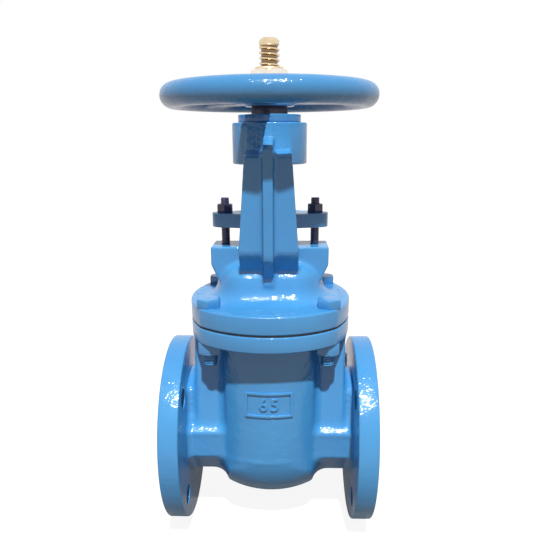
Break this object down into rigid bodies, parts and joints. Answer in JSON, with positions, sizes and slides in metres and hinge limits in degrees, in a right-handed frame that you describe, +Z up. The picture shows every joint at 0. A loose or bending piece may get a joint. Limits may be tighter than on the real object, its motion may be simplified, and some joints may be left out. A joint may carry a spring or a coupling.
{
  "type": "flanged gate valve",
  "caption": "Flanged wedge gate valve with a rising threaded stem, outside yoke, bolted bonnet and round handwheel.",
  "frame": {"origin": "centre of the inlet flange's face, on the pipe axis", "axes": "+X along the pipe from inlet to outlet, +Z up along the stem, -Y towards the front with the label frame"},
  "size_m": [0.1905, 0.1828, 0.4383],
  "materials": {
    "body_paint": "glossy blue paint over cast iron",
    "bonnet_paint": "glossy blue paint over cast iron",
    "gland_paint": "glossy blue paint over cast iron",
    "bolt_paint": "glossy blue paint over steel",
    "retainer_paint": "glossy blue paint",
    "wheel_paint": "glossy blue paint over cast iron",
    "stud_paint": "thin dark paint over steel thread",
    "seat_brass": "machined",
    "facing_brass": "machined",
    "gland_brass": "machined",
    "yoke_nut_brass": "machined",
    "wheel_nut_brass": "machined",
    "stem_brass": "bright machined thread",
    "key_steel": "bright",
    "wedge_iron": "as cast",
    "gasket_sheet": "dark sheet",
    "packing_rope": "graphite"
  },
  "bodies": {
    "valve": {"body": "body_paint", "inlet_flange": "body_paint", "outlet_flange": "body_paint", "inlet_seat_ring": "seat_brass", "outlet_seat_ring": "seat_brass", "bonnet_gasket": "gasket_sheet", "bonnet": "bonnet_paint", "packing": "packing_rope", "gland_follower": "gland_brass", "gland_flange": "gland_paint", "gland_stud_left": "stud_paint", "gland_stud_right": "stud_paint", "gland_nut_left": "stud_paint", "gland_nut_right": "stud_paint", "bonnet_bolt_front_left": "bolt_paint", "bonnet_bolt_front_right": "bolt_paint", "bonnet_bolt_back_left": "bolt_paint", "bonnet_bolt_back_right": "bolt_paint", "bonnet_nut_front_left": "bolt_paint", "bonnet_nut_front_right": "bolt_paint", "bonnet_nut_back_left": "bolt_paint", "bonnet_nut_back_right": "bolt_paint", "yoke_nut_retainer": "retainer_paint"},
    "wheel": {"yoke_nut": "yoke_nut_brass", "handwheel": "wheel_paint", "handwheel_key": "key_steel", "handwheel_nut": "wheel_nut_brass"},
    "stem": {"stem": "stem_brass", "wedge": "wedge_iron", "wedge_facing_inlet": "facing_brass", "wedge_facing_outlet": "facing_brass"}
  },
  "joints": [
    {"name": "handwheel_turn", "type": "hinge", "parent": "valve", "child": "wheel", "pos_m": [0.09525, 0, 0.2975], "axis": [0, 0, 1], "range_deg": [0, 6480]},
    {"name": "stem_lift", "type": "slide", "parent": "valve", "child": "stem", "axis": [0, 0, 1], "range_m": [0, 0.0722]}
  ],
  "couplings": [
    {"joint": "stem_lift", "follows": "handwheel_turn", "m_per_rad": 0.00063662}
  ]
}
